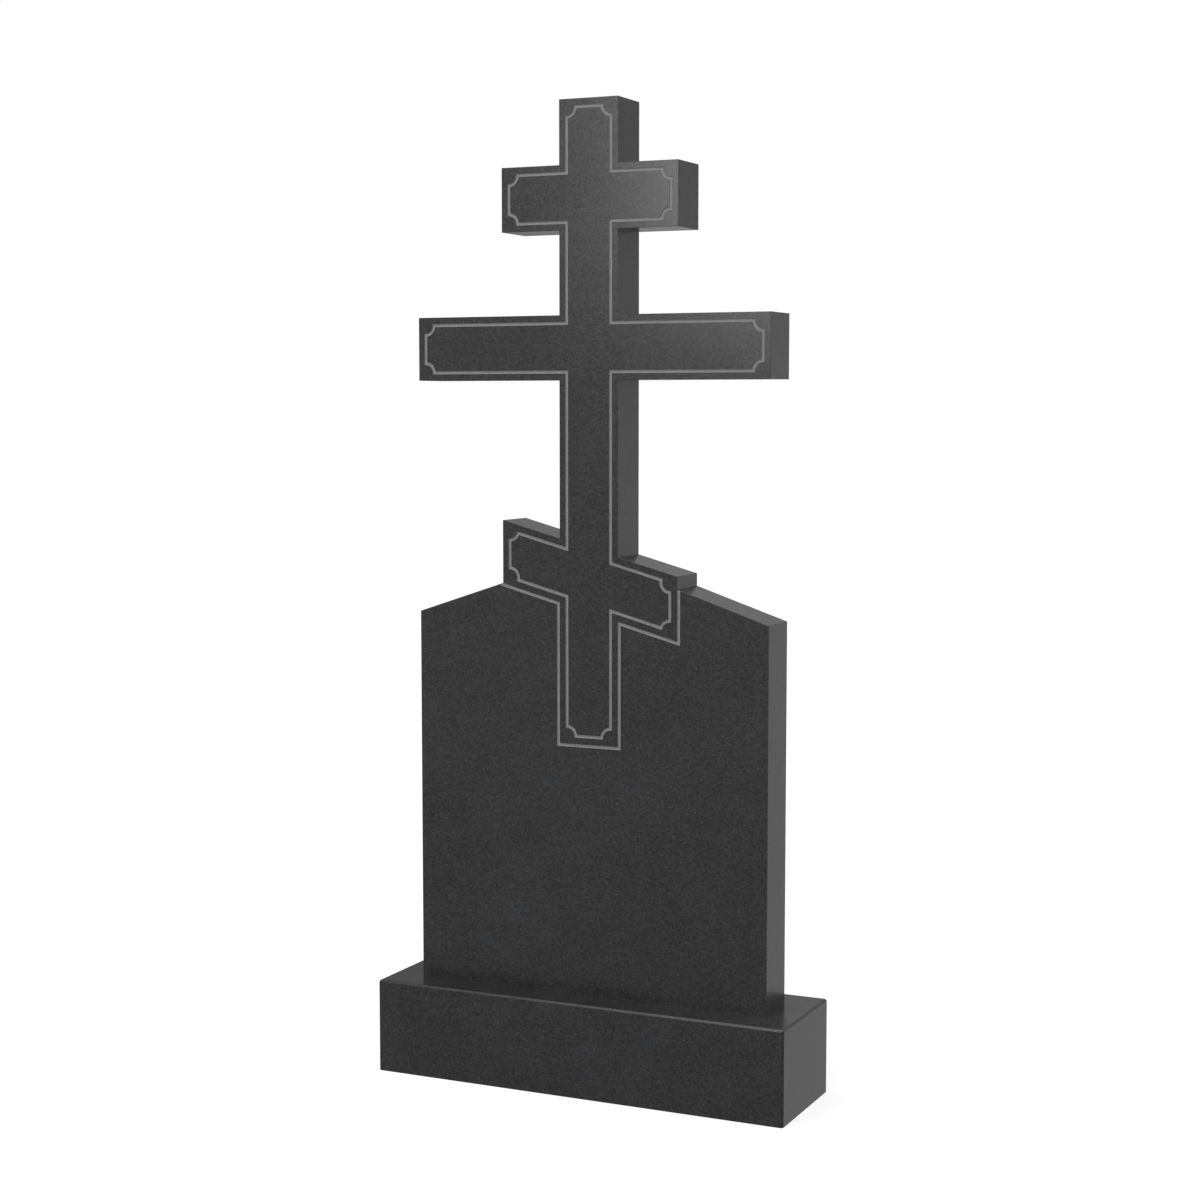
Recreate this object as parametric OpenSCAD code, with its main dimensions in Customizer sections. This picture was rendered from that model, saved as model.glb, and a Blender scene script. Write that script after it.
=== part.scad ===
// Memorial stele: one slab of polished dark stone, cut at the top into a cross with
// three bars, standing on a low plinth of the same stone.
//
// The origin is the centre of the plinth's underside. +Z is up, and the engraved
// front faces -Y. Lengths are in millimetres.

/* [Slab] */
// Width of the slab below its shoulders
slab_w = 600; // [420:10:800]
// Thickness of the slab and of the cross
slab_t = 80; // [50:1:140]
// Height of the slab's outer corners above the plinth
shoulder_h = 600; // [500:10:900]
// How much higher the two sloping shoulders would meet at the middle
shoulder_rise = 100; // [40:5:160]

/* [Cross] */
// Width of the upright post
post_w = 100; // [80:1:130]
// Height of the post's engraved foot above the plinth
post_foot_h = 400; // [100:10:420]
// Length of the slanted bottom bar, level from end to end
slant_bar_w = 300; // [240:5:380]
// Height of the slanted bar, measured upright
slant_bar_h = 100; // [80:1:130]
// Slant of the bottom bar, falling towards the viewer's right
slant_angle = 15; // [5:1:20]
// Free post between the slanted bar's high corner and the main bar
main_bar_gap = 220; // [60:5:400]
// Length of the main bar
main_bar_w = 600; // [400:10:800]
// Height of the main bar
main_bar_h = 100; // [80:1:130]
// Free post between the main bar and the top bar
top_bar_gap = 130; // [40:5:300]
// Length of the short top bar
top_bar_w = 300; // [240:5:380]
// Height of the top bar
top_bar_h = 100; // [80:1:130]
// How far the post stands up above the top bar
post_head = 100; // [50:5:200]

/* [Engraving] */
// Width of an engraved line
line_w = 5; // [2:0.5:8]
// Depth of an engraved line
line_depth = 1.5; // [0.5:0.1:3]
// Stone left between the edge of the cross and the panel line
line_inset = 10; // [5:0.5:14]
// Radius of the hollow corners of the panel line, at the middle of the line
notch_r = 15; // [8:0.5:17]

/* [Plinth] */
// Height of the plinth
plinth_h = 150; // [110:5:300]
// Ledge of the plinth beside each end of the slab
ledge_side = 50; // [15:5:150]
// Ledge of the plinth in front of the slab and behind it
ledge_front = 60; // [15:5:150]
// Bevel on the plinth's top and upright edges
plinth_bevel = 3; // [1:0.5:10]

/* [Dowels] */
// Diameter of each steel dowel
dowel_d = 14; // [8:1:20]
// Room for adhesive all round a dowel in its hole
dowel_clearance = 1; // [0.5:0.5:3]
// Depth of the dowel holes in the plinth
dowel_hole_plinth = 60; // [30:5:80]
// Depth of the dowel holes in the foot of the slab
dowel_hole_slab = 80; // [40:5:150]
// Room left above the dowel at the end of the slab's hole
dowel_end_gap = 4; // [1:1:10]
// Distance from the slab's edge to the middle of the dowel
dowel_edge = 120; // [60:5:180]

/* [Hidden] */

// Overshoot that makes a cut pass cleanly through a face
cut = 1;
// Fineness of the circles
$fn = 64;

front_y = -slab_t / 2;
plinth_w = slab_w + 2 * ledge_side;
plinth_d = slab_t + 2 * ledge_front;
dowel_x = slab_w / 2 - dowel_edge;
dowel_hole_d = dowel_d + 2 * dowel_clearance;
dowel_len = dowel_hole_plinth + dowel_hole_slab - dowel_end_gap;

// Heights of the cross above the plinth, each stacked on the one below it
slant_fall = tan(slant_angle) * slant_bar_w / 2;
slant_end_z = shoulder_h + shoulder_rise * (1 - slant_bar_w / slab_w);
slant_z = slant_end_z + slant_bar_h / 2 - slant_fall;
main_bar_z = slant_end_z + slant_bar_h + main_bar_gap;
top_bar_z = main_bar_z + main_bar_h + top_bar_gap;
post_top_z = top_bar_z + top_bar_h + post_head;

// Middle of the panel line, measured in from the edge of the cross
line_mid = line_inset + line_w / 2;

stone = "#4a4b4e";
steel = "#b5b8bb";

// Turns an outline drawn in X and Z upright, from the given Y back by a depth
module upright(y, depth) {
    translate([0, y + depth, 0])
        rotate([90, 0, 0])
            linear_extrude(depth)
                children();
}

// A level bar of the cross, drawn smaller by the inset on every side
module level_bar(w, z, h, inset) {
    translate([-w / 2 + inset, z + inset])
        square([w - 2 * inset, h - 2 * inset]);
}

// The slanted bar with its upright ends, drawn smaller by the inset on every side
module slanted_bar(inset) {
    x = slant_bar_w / 2 - inset;
    fall = tan(slant_angle) * x;
    half = slant_bar_h / 2 - inset / cos(slant_angle);
    polygon([
        [-x, slant_z + fall - half],
        [x, slant_z - fall - half],
        [x, slant_z - fall + half],
        [-x, slant_z + fall + half],
    ]);
}

// The whole cross with its three bars and the post's foot on the slab
module cross_outline(inset) {
    level_bar(post_w, post_foot_h, post_top_z - post_foot_h, inset);
    level_bar(top_bar_w, top_bar_z, top_bar_h, inset);
    level_bar(main_bar_w, main_bar_z, main_bar_h, inset);
    slanted_bar(inset);
}

// The slab with its two sloping shoulders
module slab_outline() {
    x = slab_w / 2;
    polygon([
        [-x, 0],
        [x, 0],
        [x, shoulder_h],
        [0, shoulder_h + shoulder_rise],
        [-x, shoulder_h],
    ]);
}

// Circles on the four corners of a level bar's panel line
module level_notches(w, z, h, r) {
    x = w / 2 - line_mid;
    for (side = [-1, 1])
        for (level = [z + line_mid, z + h - line_mid])
            translate([side * x, level])
                circle(r);
}

// Circles on the four corners of the slanted bar's panel line
module slanted_notches(r) {
    x = slant_bar_w / 2 - line_mid;
    fall = tan(slant_angle) * x;
    half = slant_bar_h / 2 - line_mid / cos(slant_angle);
    for (side = [-1, 1])
        for (edge = [-half, half])
            translate([side * x, slant_z - side * fall + edge])
                circle(r);
}

// Circles on every outer corner of the panel line
module notches(r) {
    level_notches(post_w, post_foot_h, post_top_z - post_foot_h, r);
    level_notches(top_bar_w, top_bar_z, top_bar_h, r);
    level_notches(main_bar_w, main_bar_z, main_bar_h, r);
    slanted_notches(r);
}

// The panel line that follows the cross inside its edge, with hollow corners
module panel_line() {
    difference() {
        cross_outline(line_inset);
        notches(notch_r - line_w / 2);
        difference() {
            cross_outline(line_inset + line_w);
            notches(notch_r + line_w / 2);
        }
    }
}

// The line that draws the edge of the cross where it lies on the slab
module edge_line() {
    intersection() {
        slab_outline();
        difference() {
            cross_outline(-line_w);
            cross_outline(0);
        }
    }
}

// The drilled holes for both dowels, upwards from a level
module dowel_holes(z, depth) {
    for (side = [-1, 1])
        translate([side * dowel_x, 0, z])
            cylinder(h = depth, d = dowel_hole_d);
}

// A block with bevelled top and upright edges and a sharp foot
module bevelled_block(w, d, h, bevel) {
    intersection() {
        linear_extrude(h)
            bevelled_plan(w, d, bevel);
        upright(-d / 2, d)
            bevelled_face(w, h, bevel);
        rotate([0, 0, 90])
            upright(-w / 2, w)
                bevelled_face(d, h, bevel);
    }
}

// A rectangle with its four corners cut off
module bevelled_plan(w, d, bevel) {
    x = w / 2;
    y = d / 2;
    polygon([
        [-x + bevel, -y],
        [x - bevel, -y],
        [x, -y + bevel],
        [x, y - bevel],
        [x - bevel, y],
        [-x + bevel, y],
        [-x, y - bevel],
        [-x, -y + bevel],
    ]);
}

// A rectangle standing on the floor with its two top corners cut off
module bevelled_face(w, h, bevel) {
    x = w / 2;
    polygon([
        [-x, 0],
        [x, 0],
        [x, h - bevel],
        [x - bevel, h],
        [-x + bevel, h],
        [-x, h - bevel],
    ]);
}

module plinth() {
    color(stone)
        difference() {
            bevelled_block(plinth_w, plinth_d, plinth_h, plinth_bevel);
            dowel_holes(plinth_h - dowel_hole_plinth, dowel_hole_plinth + cut);
        }
}

module stele() {
    color(stone)
        translate([0, 0, plinth_h])
            difference() {
                upright(front_y, slab_t) {
                    slab_outline();
                    cross_outline(0);
                }
                upright(front_y - cut, line_depth + cut) {
                    panel_line();
                    edge_line();
                }
                dowel_holes(-cut, dowel_hole_slab + cut);
            }
}

// A dowel that stands on the bottom of its hole in the plinth
module dowel(side) {
    color(steel)
        translate([side * dowel_x, 0, plinth_h - dowel_hole_plinth])
            cylinder(h = dowel_len, d = dowel_d);
}

module dowel_left() {
    dowel(-1);
}

module dowel_right() {
    dowel(1);
}

plinth();
stele();
dowel_left();
dowel_right();
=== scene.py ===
import math

import bmesh
import bpy
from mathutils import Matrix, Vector


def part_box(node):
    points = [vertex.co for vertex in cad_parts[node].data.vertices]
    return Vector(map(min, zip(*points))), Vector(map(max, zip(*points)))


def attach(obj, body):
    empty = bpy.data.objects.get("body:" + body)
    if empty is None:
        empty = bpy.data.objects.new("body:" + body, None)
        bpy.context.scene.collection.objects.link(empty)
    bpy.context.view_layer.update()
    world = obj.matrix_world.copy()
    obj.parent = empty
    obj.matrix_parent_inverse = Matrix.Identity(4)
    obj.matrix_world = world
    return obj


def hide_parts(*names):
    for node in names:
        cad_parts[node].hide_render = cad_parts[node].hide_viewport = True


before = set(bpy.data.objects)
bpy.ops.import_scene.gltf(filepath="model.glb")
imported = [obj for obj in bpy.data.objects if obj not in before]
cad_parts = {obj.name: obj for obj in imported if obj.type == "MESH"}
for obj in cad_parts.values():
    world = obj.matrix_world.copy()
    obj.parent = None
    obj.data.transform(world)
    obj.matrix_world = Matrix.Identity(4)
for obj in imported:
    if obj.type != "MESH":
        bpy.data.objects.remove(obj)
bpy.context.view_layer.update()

# Every length is in metres. The plinth and the slab take their outer sizes from the
# frame, and heights above the plinth start at the slab's foot.
PLINTH_LOW, PLINTH_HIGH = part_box("plinth")
SLAB_LOW, SLAB_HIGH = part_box("stele")
DOWELS = ["dowel_left", "dowel_right"]
FOOT = SLAB_LOW.z
FRONT = SLAB_LOW.y
BACK = SLAB_HIGH.y
NEAR = 1e-5

# Slab, heights above the plinth
SLAB_W = 0.600
SHOULDER_H = 0.600
SHOULDER_RISE = 0.100

# Cross, heights above the plinth
POST_W = 0.100
POST_FOOT_H = 0.400
BAR_H = 0.100
SLANT_BAR_W = 0.300
SLANT = math.tan(math.radians(15))
MAIN_BAR_GAP = 0.220
MAIN_BAR_W = 0.600
TOP_BAR_GAP = 0.130
TOP_BAR_W = 0.300

# Engraving
LINE_W = 0.005
LINE_DEPTH = 0.0015
LINE_INSET = 0.010
LINE_COVE = 0.0005
NOTCH_R = 0.015
NOTCH_SIDES = 72
CUTTER_REACH = 3 * LINE_DEPTH
BITE_LENGTH = 6 * CUTTER_REACH

# Edges and holes
ARRIS = 0.0005
PLINTH_BEVEL = 0.003
PLINTH_ARRIS = 0.0004
HOLE_ROOM = 0.001
SLAB_HOLE_DEPTH = 0.080
PLINTH_HOLE_DEPTH = 0.060
HOLE_SIDES = 48
ROUND_STEPS = 3

# Angles between faces, in degrees
FLAT_ANGLE = 0.5
EASED_ANGLE = 10
PLINTH_EDGE_ANGLE = 30
SMOOTH_ANGLE = 35
COVE_ANGLE = 45

# A face belongs to the underside where its normal's Z is below this
UNDERSIDE_TURN = -0.9

SLANT_END_H = SHOULDER_H + SHOULDER_RISE * (1 - SLANT_BAR_W / SLAB_W)
SLANT_MID_H = SLANT_END_H + BAR_H / 2 - SLANT * SLANT_BAR_W / 2
MAIN_BAR_H = SLANT_END_H + BAR_H + MAIN_BAR_GAP
TOP_BAR_H = MAIN_BAR_H + BAR_H + TOP_BAR_GAP
POST_TOP_H = SLAB_HIGH.z - FOOT
LINE_MID = LINE_INSET + LINE_W / 2


# ------------------------------------------------------------ working on a mesh

def take(piece):
    """Makes a piece the only selected one."""
    bpy.ops.object.select_all(action="DESELECT")
    piece.select_set(True)
    bpy.context.view_layer.objects.active = piece


def settle(name):
    """Puts the new piece's place, turn and size into its mesh, and names it."""
    bpy.ops.object.transform_apply(location=True, rotation=True, scale=True)
    piece = bpy.context.active_object
    piece.name = name
    return piece


def block(name, low, high):
    """A block between two corners."""
    bpy.ops.object.select_all(action="DESELECT")
    low, high = Vector(low), Vector(high)
    bpy.ops.mesh.primitive_cube_add(size=1, location=(low + high) / 2, scale=high - low)
    return settle(name)


def drum(name, radius, centre, length, sides, turn=(0, 0, 0)):
    """A round bar along Z, or along another axis after a turn."""
    bpy.ops.object.select_all(action="DESELECT")
    bpy.ops.mesh.primitive_cylinder_add(
        vertices=sides, radius=radius, depth=length, location=centre, rotation=turn
    )
    return settle(name)


def pick(piece, kind, wanted):
    """Opens a piece in edit mode with only the wanted points, edges or faces selected."""
    take(piece)
    bpy.ops.object.mode_set(mode="EDIT")
    bpy.ops.mesh.select_mode(type=kind)
    bpy.ops.mesh.select_all(action="DESELECT")
    mesh = bmesh.from_edit_mesh(piece.data)
    parts = {"VERT": mesh.verts, "EDGE": mesh.edges, "FACE": mesh.faces}[kind]
    for part in parts:
        if wanted(part):
            part.select_set(True)
    mesh.select_flush_mode()
    bmesh.update_edit_mesh(piece.data)


def close():
    """Leaves edit mode."""
    bpy.ops.object.mode_set(mode="OBJECT")


def apply_modifier(piece, kind, **settings):
    """Adds one modifier with its settings and applies it."""
    take(piece)
    modifier = piece.modifiers.new(kind.lower(), kind)
    for key, value in settings.items():
        setattr(modifier, key, value)
    bpy.ops.object.modifier_apply(modifier=modifier.name)


def combine(piece, tool, operation):
    """Joins a tool to a piece, or cuts it away, and removes the tool."""
    apply_modifier(
        piece,
        "BOOLEAN",
        object=tool,
        operation=operation,
        solver="EXACT",
        material_mode="TRANSFER",
    )
    bpy.data.objects.remove(tool)


def cover(piece, material):
    """Gives the whole piece one material."""
    piece.data.materials.clear()
    piece.data.materials.append(material)
    piece.data.polygons.foreach_set("material_index", [0] * len(piece.data.polygons))


def merge_flat_faces(piece):
    """Turns the faces that lie in one plane into one face, with no doubled points."""
    pick(piece, "VERT", lambda v: True)
    bpy.ops.mesh.remove_doubles(threshold=NEAR)
    bpy.ops.mesh.dissolve_limited(angle_limit=math.radians(FLAT_ANGLE))
    bpy.ops.mesh.normals_make_consistent(inside=False)
    close()


def finish_mesh(piece):
    """Clears slivers, smooths what turns gently and keeps the flat faces flat."""
    pick(piece, "VERT", lambda v: True)
    bpy.ops.mesh.remove_doubles(threshold=NEAR)
    bpy.ops.mesh.dissolve_degenerate(threshold=NEAR)
    bpy.ops.mesh.normals_make_consistent(inside=False)
    close()
    bpy.ops.object.shade_smooth_by_angle(angle=math.radians(SMOOTH_ANGLE))
    apply_modifier(piece, "WEIGHTED_NORMAL", keep_sharp=True, weight=100)


# ------------------------------------------------------------ stele

def level_bar(name, width, low, high, inset, y0, y1):
    """A level bar of the cross, smaller by the inset on every side."""
    x = width / 2 - inset
    return block(name, (-x, y0, FOOT + low + inset), (x, y1, FOOT + high - inset))


def slanted_bar(inset, y0, y1):
    """The slanted bar, made level and then moved up at one end and down at the other."""
    x = SLANT_BAR_W / 2 - inset
    half = BAR_H / 2 - inset * math.hypot(1, SLANT)
    middle = FOOT + SLANT_MID_H
    bar = block("slanted_bar", (-x, y0, middle - half), (x, y1, middle + half))
    for side in (-1, 1):
        pick(bar, "VERT", lambda v: v.co.x * side > 0)
        bpy.ops.transform.translate(value=(0, 0, -side * x * SLANT))
        close()
    return bar


def cross_block(name, inset, y0, y1):
    """The whole cross with its three bars, smaller by the inset on every side."""
    cross = level_bar(name, POST_W, POST_FOOT_H, POST_TOP_H, inset, y0, y1)
    main = level_bar("main_bar", MAIN_BAR_W, MAIN_BAR_H, MAIN_BAR_H + BAR_H, inset, y0, y1)
    top = level_bar("top_bar", TOP_BAR_W, TOP_BAR_H, TOP_BAR_H + BAR_H, inset, y0, y1)
    for bar in (main, top, slanted_bar(inset, y0, y1)):
        combine(cross, bar, "UNION")
    merge_flat_faces(cross)
    return cross


def slab_block(name, y0, y1):
    """The slab, cut down its middle so that the ridge of the shoulders can be raised."""
    top = FOOT + SHOULDER_H
    slab = block(name, (-SLAB_W / 2, y0, FOOT), (SLAB_W / 2, y1, top))
    pick(slab, "VERT", lambda v: True)
    bpy.ops.mesh.bisect(plane_co=(0, 0, 0), plane_no=(1, 0, 0))
    close()
    pick(slab, "VERT", lambda v: abs(v.co.x) < NEAR and v.co.z > top - NEAR)
    bpy.ops.transform.translate(value=(0, 0, SHOULDER_RISE))
    close()
    return slab


def notch_centres():
    """Every outer corner of the panel line, as X and height above the plinth."""
    bars = [
        (POST_W, POST_FOOT_H, POST_TOP_H),
        (MAIN_BAR_W, MAIN_BAR_H, MAIN_BAR_H + BAR_H),
        (TOP_BAR_W, TOP_BAR_H, TOP_BAR_H + BAR_H),
    ]
    for width, low, high in bars:
        for x in (-width / 2 + LINE_MID, width / 2 - LINE_MID):
            yield x, low + LINE_MID
            yield x, high - LINE_MID
    half = BAR_H / 2 - LINE_MID * math.hypot(1, SLANT)
    for x in (-SLANT_BAR_W / 2 + LINE_MID, SLANT_BAR_W / 2 - LINE_MID):
        yield x, SLANT_MID_H - x * SLANT - half
        yield x, SLANT_MID_H - x * SLANT + half


def notched_cross(inset, radius, y0, y1):
    """The cross with a round bite taken out of each outer corner."""
    cross = cross_block("panel", inset, y0, y1)
    for x, height in notch_centres():
        centre = (x, (y0 + y1) / 2, FOOT + height)
        bite = drum("bite", radius, centre, BITE_LENGTH, NOTCH_SIDES, (math.pi / 2, 0, 0))
        combine(cross, bite, "DIFFERENCE")
    return cross


def finish_cutter(cutter, floor, material):
    """Rounds the cutter's deepest edges, so that its line gets a coved floor."""
    merge_flat_faces(cutter)

    def deep(edge):
        flat = all(abs(v.co.y - floor) < NEAR for v in edge.verts)
        return flat and edge.calc_face_angle(0) > math.radians(COVE_ANGLE)

    pick(cutter, "EDGE", deep)
    bpy.ops.mesh.bevel(offset=LINE_COVE, segments=ROUND_STEPS, affect="EDGES")
    close()
    cover(cutter, material)
    return cutter


def panel_line_cutter(material):
    """The line that follows the cross inside its edge, as a solid to cut away."""
    y0, y1 = FRONT - LINE_DEPTH, FRONT + LINE_DEPTH
    cutter = notched_cross(LINE_INSET, NOTCH_R - LINE_W / 2, y0, y1)
    y0_core, y1_core = FRONT - CUTTER_REACH, FRONT + CUTTER_REACH
    core = notched_cross(LINE_INSET + LINE_W, NOTCH_R + LINE_W / 2, y0_core, y1_core)
    combine(cutter, core, "DIFFERENCE")
    return finish_cutter(cutter, y1, material)


def edge_line_cutter(material):
    """The line that draws the cross where it lies on the slab, as a solid to cut away."""
    y0, y1 = FRONT - LINE_DEPTH, FRONT + LINE_DEPTH
    cutter = cross_block("edge_line", -LINE_W, y0, y1)
    y0_core, y1_core = FRONT - CUTTER_REACH, FRONT + CUTTER_REACH
    combine(cutter, cross_block("core", 0, y0_core, y1_core), "DIFFERENCE")
    combine(cutter, slab_block("reach", y0_core, y1_core), "INTERSECT")
    return finish_cutter(cutter, y1, material)


def drill(piece, low, high):
    """Both dowel holes, between two heights."""
    for node in DOWELS:
        dowel_low, dowel_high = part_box(node)
        x = (dowel_low.x + dowel_high.x) / 2
        y = (dowel_low.y + dowel_high.y) / 2
        radius = (dowel_high.x - dowel_low.x) / 2 + HOLE_ROOM
        bit = drum("drill", radius, (x, y, (low + high) / 2), high - low, HOLE_SIDES)
        combine(piece, bit, "DIFFERENCE")


def make_stele(polished, engraved):
    """The slab and the cross from one stone, with fine arrises and engraved lines."""
    stele = slab_block("stele_stone", FRONT, BACK)
    combine(stele, cross_block("cross", 0, FRONT, BACK), "UNION")
    merge_flat_faces(stele)

    def eased(edge):
        off_foot = any(v.co.z > FOOT + NEAR for v in edge.verts)
        return off_foot and edge.calc_face_angle(0) > math.radians(EASED_ANGLE)

    pick(stele, "EDGE", eased)
    bpy.ops.mesh.bevel(offset=ARRIS, segments=ROUND_STEPS, affect="EDGES")
    close()
    cover(stele, polished)
    combine(stele, panel_line_cutter(engraved), "DIFFERENCE")
    combine(stele, edge_line_cutter(engraved), "DIFFERENCE")
    drill(stele, FOOT - SLAB_HOLE_DEPTH, FOOT + SLAB_HOLE_DEPTH)
    finish_mesh(stele)
    return stele


# ------------------------------------------------------------ plinth

def make_plinth(polished, sawn):
    """The plinth, bevelled at its top and upright edges and left as sawn below."""
    plinth = block("plinth_stone", PLINTH_LOW, PLINTH_HIGH)
    top = PLINTH_HIGH.z
    pick(plinth, "EDGE", lambda e: any(v.co.z > top - NEAR for v in e.verts))
    bpy.ops.mesh.bevel(offset=PLINTH_BEVEL, segments=1, affect="EDGES")
    close()
    apply_modifier(
        plinth,
        "BEVEL",
        width=PLINTH_ARRIS,
        segments=2,
        limit_method="ANGLE",
        angle_limit=math.radians(PLINTH_EDGE_ANGLE),
    )
    cover(plinth, polished)
    plinth.data.materials.append(sawn)
    pick(plinth, "FACE", lambda f: f.normal.z < UNDERSIDE_TURN)
    plinth.active_material_index = 1
    bpy.ops.object.material_slot_assign()
    close()
    drill(plinth, top - PLINTH_HOLE_DEPTH, top + PLINTH_HOLE_DEPTH)
    finish_mesh(plinth)
    return plinth


# ------------------------------------------------------------ nodes

def add_node(tree, kind, place, **inputs):
    """A node at a place on the sheet, with its inputs set to values or linked to sockets."""
    node = tree.nodes.new(kind)
    node.location = place
    for name, value in inputs.items():
        feed(tree, node.inputs[name.replace("_", " ")], value)
    return node


def feed(tree, socket, value):
    """Sets a socket to a value, or links it to another socket."""
    if isinstance(value, bpy.types.NodeSocket):
        tree.links.new(value, socket)
    else:
        socket.default_value = value


def sums(tree, place, operation, *values, clamp=False):
    """The result of a Math node."""
    node = tree.nodes.new("ShaderNodeMath")
    node.location = place
    node.operation = operation
    node.use_clamp = clamp
    for socket, value in zip(node.inputs, values):
        feed(tree, socket, value)
    return node.outputs[0]


def blend(tree, place, factor, first, second):
    """The mix of two colours."""
    node = tree.nodes.new("ShaderNodeMix")
    node.location = place
    node.data_type = "RGBA"
    for name, value in (("Factor_Float", factor), ("A_Color", first), ("B_Color", second)):
        feed(tree, next(s for s in node.inputs if s.identifier == name), value)
    return next(s for s in node.outputs if s.identifier == "Result_Color")


def spread(tree, place, value, low, high, to_low=0.0, to_high=1.0, smooth=False):
    """A value moved from one range to another, and held inside it."""
    node = tree.nodes.new("ShaderNodeMapRange")
    node.interpolation_type = "SMOOTHSTEP" if smooth else "LINEAR"
    node.location = place
    for name, amount in (
        ("Value", value),
        ("From Min", low),
        ("From Max", high),
        ("To Min", to_low),
        ("To Max", to_high),
    ):
        feed(tree, node.inputs[name], amount)
    return node.outputs[0]


def grey(level, blue=1.0):
    """A grey colour, with a little more or less blue."""
    return (level, level, level * blue, 1)


def new_group(name, inputs, outputs):
    """An empty node group with named sockets, and its two end nodes."""
    group = bpy.data.node_groups.new(name, "ShaderNodeTree")
    for socket_name, kind, value in inputs:
        socket = group.interface.new_socket(socket_name, in_out="INPUT", socket_type=kind)
        if value is not None:
            socket.default_value = value
    for socket_name, kind in outputs:
        group.interface.new_socket(socket_name, in_out="OUTPUT", socket_type=kind)
    start = add_node(group, "NodeGroupInput", (-1400, 0))
    end = add_node(group, "NodeGroupOutput", (900, 0))
    return group, start.outputs, end.inputs


FLOAT = "NodeSocketFloat"
COLOUR = "NodeSocketColor"
VECTOR = "NodeSocketVector"


# What the crystals, the grains inside them and the clouds add to the tone
CRYSTAL_SHARE = 0.42
FINE_SHARE = 0.66
CLOUD_SHARE = 0.44
TONE_DROP = 0.26

# How many there are of each, for one crystal
FINE_GRAINS = 1.7
CLOUDS = 0.035
FLECKS = 1.7

GLINT_CHANCE = (0.50, 0.62)
FLECK_EDGE = (0.25, 0.45)


def make_gabbro_grain():
    """The grain of dark gabbro: packed crystals, soft clouds, bluish glints and pale flecks."""
    group, given, made = new_group(
        "gabbro_grain",
        [
            ("Vector", VECTOR, None),
            ("Crystals per Metre", FLOAT, 600.0),
            ("Dark", COLOUR, grey(0.010)),
            ("Light", COLOUR, grey(0.040)),
            ("Glint", COLOUR, grey(0.040)),
            ("Fleck", COLOUR, grey(0.200)),
            ("Fleck Share", FLOAT, 0.02),
        ],
        [("Color", COLOUR), ("Tone", FLOAT)],
    )
    vector, size = given["Vector"], given["Crystals per Metre"]

    # Each crystal has a tone and a glint of its own
    crystal = add_node(group, "ShaderNodeTexVoronoi", (-1000, 300), Vector=vector, Scale=size)
    dice = add_node(group, "ShaderNodeSeparateColor", (-800, 300), Color=crystal.outputs["Color"])

    # Finer grains inside the crystals, and clouds over many of them
    fine_size = sums(group, (-1200, 0), "MULTIPLY", size, FINE_GRAINS)
    fine = add_node(group, "ShaderNodeTexNoise", (-1000, 0), Vector=vector, Scale=fine_size)
    fine.inputs["Detail"].default_value = 2
    cloud_size = sums(group, (-1200, -250), "MULTIPLY", size, CLOUDS)
    cloud = add_node(group, "ShaderNodeTexNoise", (-1000, -250), Vector=vector, Scale=cloud_size)
    cloud.inputs["Detail"].default_value = 5
    cloud.inputs["Roughness"].default_value = 0.65

    tone = sums(group, (-550, 300), "MULTIPLY", dice.outputs[0], CRYSTAL_SHARE)
    tone = sums(group, (-400, 200), "MULTIPLY_ADD", fine.outputs[0], FINE_SHARE, tone)
    tone = sums(group, (-250, 100), "MULTIPLY_ADD", cloud.outputs[0], CLOUD_SHARE, tone)
    tone = sums(group, (-100, 100), "SUBTRACT", tone, TONE_DROP, clamp=True)
    stone = blend(group, (100, 200), tone, given["Dark"], given["Light"])

    # Few crystals glint blue, most of them where the clouds are light
    chance = sums(group, (-550, -100), "MULTIPLY", dice.outputs[1], cloud.outputs[0])
    glint = spread(group, (-400, -100), chance, *GLINT_CHANCE)
    stone = blend(group, (300, 100), glint, stone, given["Glint"])

    # Pale flecks in a scatter of small crystals
    fleck_size = sums(group, (-1200, -550), "MULTIPLY", size, FLECKS)
    flecks = add_node(
        group, "ShaderNodeTexVoronoi", (-1000, -550), Vector=vector, Scale=fleck_size
    )
    luck = add_node(group, "ShaderNodeSeparateColor", (-800, -550), Color=flecks.outputs["Color"])
    edge = sums(group, (-600, -650), "SUBTRACT", 1.0, given["Fleck Share"])
    chosen = sums(group, (-400, -550), "GREATER_THAN", luck.outputs[2], edge)
    inside = spread(group, (-400, -750), flecks.outputs["Distance"], *FLECK_EDGE, 1.0, 0.0)
    mask = sums(group, (-200, -600), "MULTIPLY", chosen, inside)
    stone = blend(group, (500, 0), mask, stone, given["Fleck"])

    feed(group, made["Color"], stone)
    feed(group, made["Tone"], tone)
    return group


def make_tool_marks():
    """The tracks that a saw or a grinder leaves, as a height along one axis."""
    group, given, made = new_group(
        "tool_marks",
        [("Vector", VECTOR, None), ("Marks per Metre", FLOAT, 300.0), ("Stretch", FLOAT, 20.0)],
        [("Height", FLOAT)],
    )
    parts = add_node(group, "ShaderNodeSeparateXYZ", (-1150, 100), Vector=given["Vector"])
    along = sums(group, (-950, 200), "DIVIDE", parts.outputs[0], given["Stretch"])
    drawn = add_node(
        group,
        "ShaderNodeCombineXYZ",
        (-750, 100),
        X=along,
        Y=parts.outputs[1],
        Z=parts.outputs[2],
    )
    marks = add_node(
        group,
        "ShaderNodeTexNoise",
        (-550, 100),
        Vector=drawn.outputs[0],
        Scale=given["Marks per Metre"],
    )
    marks.inputs["Detail"].default_value = 4
    feed(group, made["Height"], marks.outputs[0])
    return group


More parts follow.
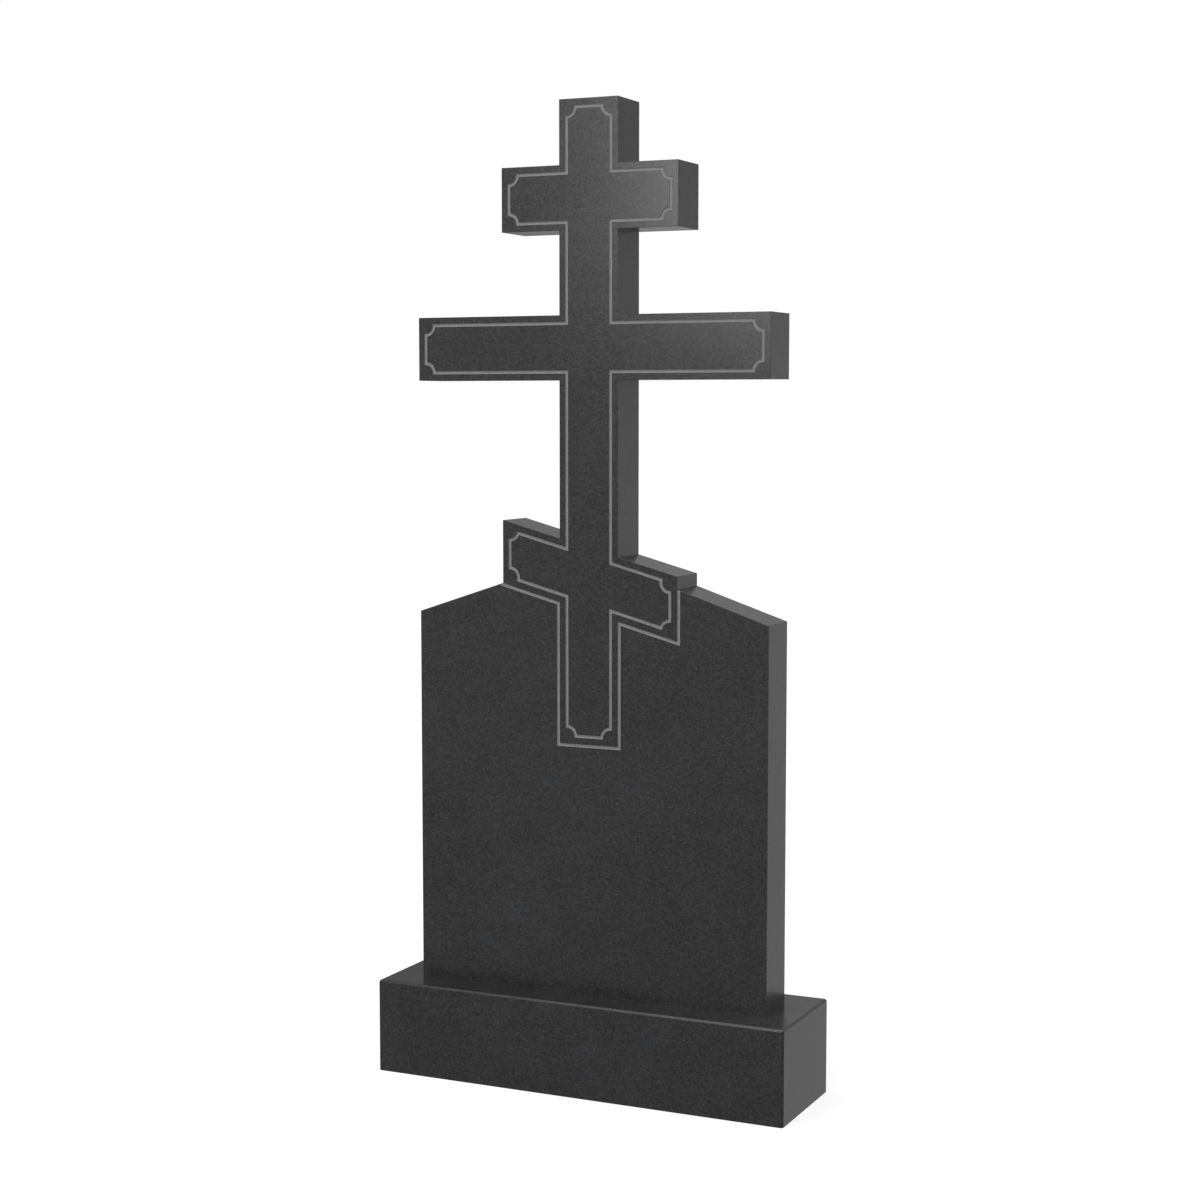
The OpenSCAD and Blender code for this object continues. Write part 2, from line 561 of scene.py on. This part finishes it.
def use_group(tree, group, place, **inputs):
    """A node group placed in a material, with its inputs set."""
    node = tree.nodes.new("ShaderNodeGroup")
    node.node_tree = group
    node.location = place
    for name, value in inputs.items():
        feed(tree, node.inputs[name.replace("_", " ")], value)
    return node.outputs


def new_material(name):
    """An empty material, with its node tree, its shader and the object's own coordinates."""
    material = bpy.data.materials.new(name)
    material.use_nodes = True
    tree = material.node_tree
    shader = next(n for n in tree.nodes if n.type == "BSDF_PRINCIPLED")
    place = add_node(tree, "ShaderNodeTexCoord", (-1400, 0)).outputs["Object"]
    return material, tree, shader.inputs, place


def bump(tree, place, height, depth):
    """The normal of a bumpy surface whose marks have a depth in metres."""
    node = add_node(tree, "ShaderNodeBump", place, Height=height, Distance=depth)
    return node.outputs[0]


# ------------------------------------------------------------ materials

def make_polished_stone(grain):
    """Dark gabbro, polished until it mirrors what stands close to it."""
    material, tree, shader, place = new_material("polished_gabbro")
    stone = use_group(
        tree,
        grain,
        (-900, 100),
        Vector=place,
        Crystals_per_Metre=340.0,
        Dark=grey(0.0043, 1.04),
        Light=grey(0.0530, 1.0),
        Glint=(0.030, 0.036, 0.050, 1),
        Fleck=grey(0.16, 1.03),
        Fleck_Share=0.006,
    )
    feed(tree, shader["Base Color"], stone["Color"])
    feed(tree, shader["Roughness"], spread(tree, (-500, -100), stone["Tone"], 0, 1, 0.21, 0.25))
    feed(tree, shader["Normal"], bump(tree, (-500, -400), stone["Tone"], 0.000002))
    shader["IOR"].default_value = 1.5
    return material


def make_engraved_stone(grain, marks):
    """The floor and walls of the engraved lines, ground matt and pale."""
    material, tree, shader, place = new_material("engraved_gabbro")
    stone = use_group(
        tree,
        grain,
        (-900, 200),
        Vector=place,
        Crystals_per_Metre=900.0,
        Dark=grey(0.170, 1.01),
        Light=grey(0.330, 1.01),
        Glint=grey(0.26),
        Fleck=grey(0.42),
        Fleck_Share=0.05,
    )
    grind = use_group(
        tree, marks, (-900, -300), Vector=place, Marks_per_Metre=1400.0, Stretch=1.6
    )
    feed(tree, shader["Base Color"], stone["Color"])
    feed(tree, shader["Roughness"], spread(tree, (-500, -100), grind["Height"], 0.3, 0.7, 0.7, 0.9))
    feed(tree, shader["Normal"], bump(tree, (-500, -400), grind["Height"], 0.0003))
    return material


def make_sawn_stone(grain, marks):
    """The plinth's underside, left grey and rough with the tracks of the saw."""
    material, tree, shader, place = new_material("sawn_gabbro")
    stone = use_group(
        tree,
        grain,
        (-900, 200),
        Vector=place,
        Crystals_per_Metre=520.0,
        Dark=grey(0.070, 1.01),
        Light=grey(0.170, 0.99),
        Glint=grey(0.13),
        Fleck=grey(0.30),
        Fleck_Share=0.02,
    )
    saw = use_group(
        tree, marks, (-900, -300), Vector=place, Marks_per_Metre=260.0, Stretch=40.0
    )
    feed(tree, shader["Base Color"], stone["Color"])
    feed(tree, shader["Roughness"], spread(tree, (-500, -100), saw["Height"], 0.3, 0.7, 0.65, 0.9))
    feed(tree, shader["Normal"], bump(tree, (-500, -400), saw["Height"], 0.0008))
    return material


def make_dowel_steel(marks):
    """Plain stainless bar, with the fine scratches of its drawing."""
    material, tree, shader, place = new_material("dowel_steel")
    upright = add_node(tree, "ShaderNodeMapping", (-1200, 0), Vector=place)
    upright.inputs["Rotation"].default_value = (0, math.pi / 2, 0)
    drawing = use_group(
        tree,
        marks,
        (-900, -100),
        Vector=upright.outputs[0],
        Marks_per_Metre=2500.0,
        Stretch=60.0,
    )
    tint = spread(tree, (-600, 200), drawing["Height"], 0.3, 0.7)
    feed(tree, shader["Base Color"], blend(tree, (-300, 200), tint, grey(0.50), grey(0.66)))
    feed(tree, shader["Roughness"], spread(tree, (-600, -100), tint, 0, 1, 0.25, 0.4))
    feed(tree, shader["Normal"], bump(tree, (-300, -300), drawing["Height"], 0.00003))
    shader["Metallic"].default_value = 1
    return material


# ------------------------------------------------------------ studio

FLOOR_SIZE = 60.0
EVEN_LIGHT = 0.8
CAMERA_PLACE = (1.4708, -3.1555, 1.0801)
CAMERA_TURN = (84.993, 0.0, 24.974)
LENS = 66.51
SENSOR = 36.0

# The room that the polish mirrors. Turns are in degrees from straight behind the stele,
# rises are the height of a direction one metre long, and levels are strengths of light.
ROOM_LEVEL = 0.15
WALL_LEFT_TURNS = (-38, -16)
WALL_RIGHT_TURNS = (60, 120)
WALL_RISES = (-0.05, 0.14)
WALL_LEVELS = (0.41, 0.27)
FRONT_LOW_RISES = (-0.30, 0.10)
FRONT_LOW_LEVELS = (0.31, 0.56)
FRONT_HIGH_RISES = (0.10, 0.25)
FRONT_HIGH_DROPS = (0.0, 0.24)
FRONT_DEPTHS = (0.0, -0.5)
OVERHEAD = (0.10, -0.25, 0.96)
OVERHEAD_NEARNESS = (0.79, 0.95)
OVERHEAD_LEVELS = (0.0, 3.2)

FLOOR_GREY = 0.45
FLOOR_SEEN_GREY = 0.3
FLOOR_GLOW = 0.8
FLOOR_ROUGHNESS = 0.9


def make_camera():
    """The camera stands to the right of the stele, at chest height."""
    data = bpy.data.cameras.new("camera")
    data.sensor_width = SENSOR
    data.lens = LENS
    camera = bpy.data.objects.new("camera", data)
    camera.location = CAMERA_PLACE
    camera.rotation_euler = [math.radians(a) for a in CAMERA_TURN]
    bpy.context.scene.collection.objects.link(camera)
    bpy.context.scene.camera = camera


def seen_white(tree, place):
    """1 for camera and transmission rays, which see the plain white of the studio."""
    path = add_node(tree, "ShaderNodeLightPath", place).outputs
    right = (place[0] + 200, place[1])
    return sums(tree, right, "MAXIMUM", path["Is Camera Ray"], path["Is Transmission Ray"]), path


def make_world():
    """White to the eye, an even grey for light, and a soft grey room in the polish."""
    world = bpy.data.worlds.new("studio")
    bpy.context.scene.world = world
    world.use_nodes = True
    tree = world.node_tree
    background = next(n for n in tree.nodes if n.type == "BACKGROUND")
    background.inputs["Color"].default_value = (1, 1, 1, 1)
    direction = add_node(tree, "ShaderNodeTexCoord", (-1400, 0)).outputs["Generated"]

    parts = add_node(tree, "ShaderNodeSeparateXYZ", (-1200, 0), Vector=direction).outputs
    rise = parts["Z"]

    # The bright wall behind the stele, darker at both ends and higher up
    turn = sums(tree, (-1000, 300), "ARCTAN2", parts["X"], parts["Y"])
    left_turns = [math.radians(a) for a in WALL_LEFT_TURNS]
    right_turns = [math.radians(a) for a in WALL_RIGHT_TURNS]
    left = spread(tree, (-600, 400), turn, *left_turns, smooth=True)
    right = spread(tree, (-600, 200), turn, *right_turns, 1, 0, smooth=True)
    wall = sums(tree, (-400, 300), "MULTIPLY", left, right)
    wall_level = spread(tree, (-600, 0), rise, *WALL_RISES, *WALL_LEVELS)
    back = sums(tree, (-200, 200), "MULTIPLY_ADD", wall, wall_level, ROOM_LEVEL)

    # The room in front of it, dimmer towards the floor
    low = spread(tree, (-800, -200), rise, *FRONT_LOW_RISES, *FRONT_LOW_LEVELS)
    high = spread(tree, (-800, -400), rise, *FRONT_HIGH_RISES, *FRONT_HIGH_DROPS)
    front = sums(tree, (-600, -200), "SUBTRACT", low, high)
    ahead = spread(tree, (-600, -400), parts["Y"], *FRONT_DEPTHS)
    front = sums(tree, (-400, -300), "MULTIPLY", front, ahead)

    # The soft light over the stele, which shines in the bevels
    over = tree.nodes.new("ShaderNodeVectorMath")
    over.location = (-800, -600)
    over.operation = "DOT_PRODUCT"
    feed(tree, over.inputs[0], direction)
    over.inputs[1].default_value = Vector(OVERHEAD).normalized()
    nearness = over.outputs["Value"]
    above = spread(tree, (-600, -600), nearness, *OVERHEAD_NEARNESS, *OVERHEAD_LEVELS)

    room = sums(tree, (0, 0), "MAXIMUM", back, front)
    room = sums(tree, (100, -200), "MAXIMUM", room, above)

    white, path = seen_white(tree, (-1000, 500))
    in_polish = sums(tree, (200, 200), "MULTIPLY", room, path["Is Glossy Ray"])
    even = sums(tree, (200, 400), "SUBTRACT", 1.0, path["Is Glossy Ray"])
    level = sums(tree, (400, 300), "MULTIPLY_ADD", even, EVEN_LIGHT, in_polish)
    strength = sums(tree, (600, 300), "MAXIMUM", level, white)
    feed(tree, background.inputs["Strength"], strength)


def make_floor():
    """A pale floor that looks white and keeps a soft shadow."""
    bpy.ops.object.select_all(action="DESELECT")
    bpy.ops.mesh.primitive_plane_add(size=FLOOR_SIZE)
    floor = settle("floor")
    material = bpy.data.materials.new("pale_floor")
    material.use_nodes = True
    tree = material.node_tree
    shader = next(n for n in tree.nodes if n.type == "BSDF_PRINCIPLED").inputs
    shader["Roughness"].default_value = FLOOR_ROUGHNESS
    shader["Specular IOR Level"].default_value = 0
    shader["Emission Color"].default_value = grey(1)
    white, path = seen_white(tree, (-900, 0))
    tint = blend(tree, (-400, 200), white, grey(FLOOR_GREY), grey(FLOOR_SEEN_GREY))
    feed(tree, shader["Base Color"], tint)
    feed(tree, shader["Emission Strength"], sums(tree, (-400, 0), "MULTIPLY", white, FLOOR_GLOW))
    floor.data.materials.append(material)
    floor.visible_glossy = False


def add_lamp(name, place, aim, size, power):
    """A square soft lamp aimed at a point, with its power in watts."""
    data = bpy.data.lights.new(name, "AREA")
    data.shape = "SQUARE"
    data.size = size
    data.energy = power
    lamp = bpy.data.objects.new(name, data)
    lamp.location = place
    lamp.rotation_euler = (Vector(aim) - Vector(place)).to_track_quat("-Z", "Y").to_euler()
    lamp.visible_camera = False
    bpy.context.scene.collection.objects.link(lamp)
    return lamp


def make_lamps():
    """One lamp lights the front, and a panel only shines in the polish of the cross."""
    front_lamp = add_lamp(
        "front_lamp", place=(-1.2, -2.6, 4.0), aim=(0, 0, 0.8), size=2.0, power=70
    )
    front_lamp.visible_glossy = False
    panel = add_lamp(
        "polish_panel", place=(-0.5, -3.07, 2.04), aim=(0, 0, 1.3), size=1.2, power=37
    )
    panel.visible_diffuse = False


# ------------------------------------------------------------ assembly

bpy.context.scene.view_settings.view_transform = "Standard"
make_camera()
make_world()
make_floor()
make_lamps()

gabbro_grain = make_gabbro_grain()
tool_marks = make_tool_marks()
polished_stone = make_polished_stone(gabbro_grain)
engraved_stone = make_engraved_stone(gabbro_grain, tool_marks)
sawn_stone = make_sawn_stone(gabbro_grain, tool_marks)
dowel_steel = make_dowel_steel(tool_marks)

stele_stone = make_stele(polished_stone, engraved_stone)
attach(stele_stone, "root")
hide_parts("stele")

plinth_stone = make_plinth(polished_stone, sawn_stone)
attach(plinth_stone, "root")
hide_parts("plinth")

for node in DOWELS:
    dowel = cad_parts[node]
    for slot in dowel.material_slots:
        slot.material = dowel_steel

bpy.ops.object.select_all(action="DESELECT")
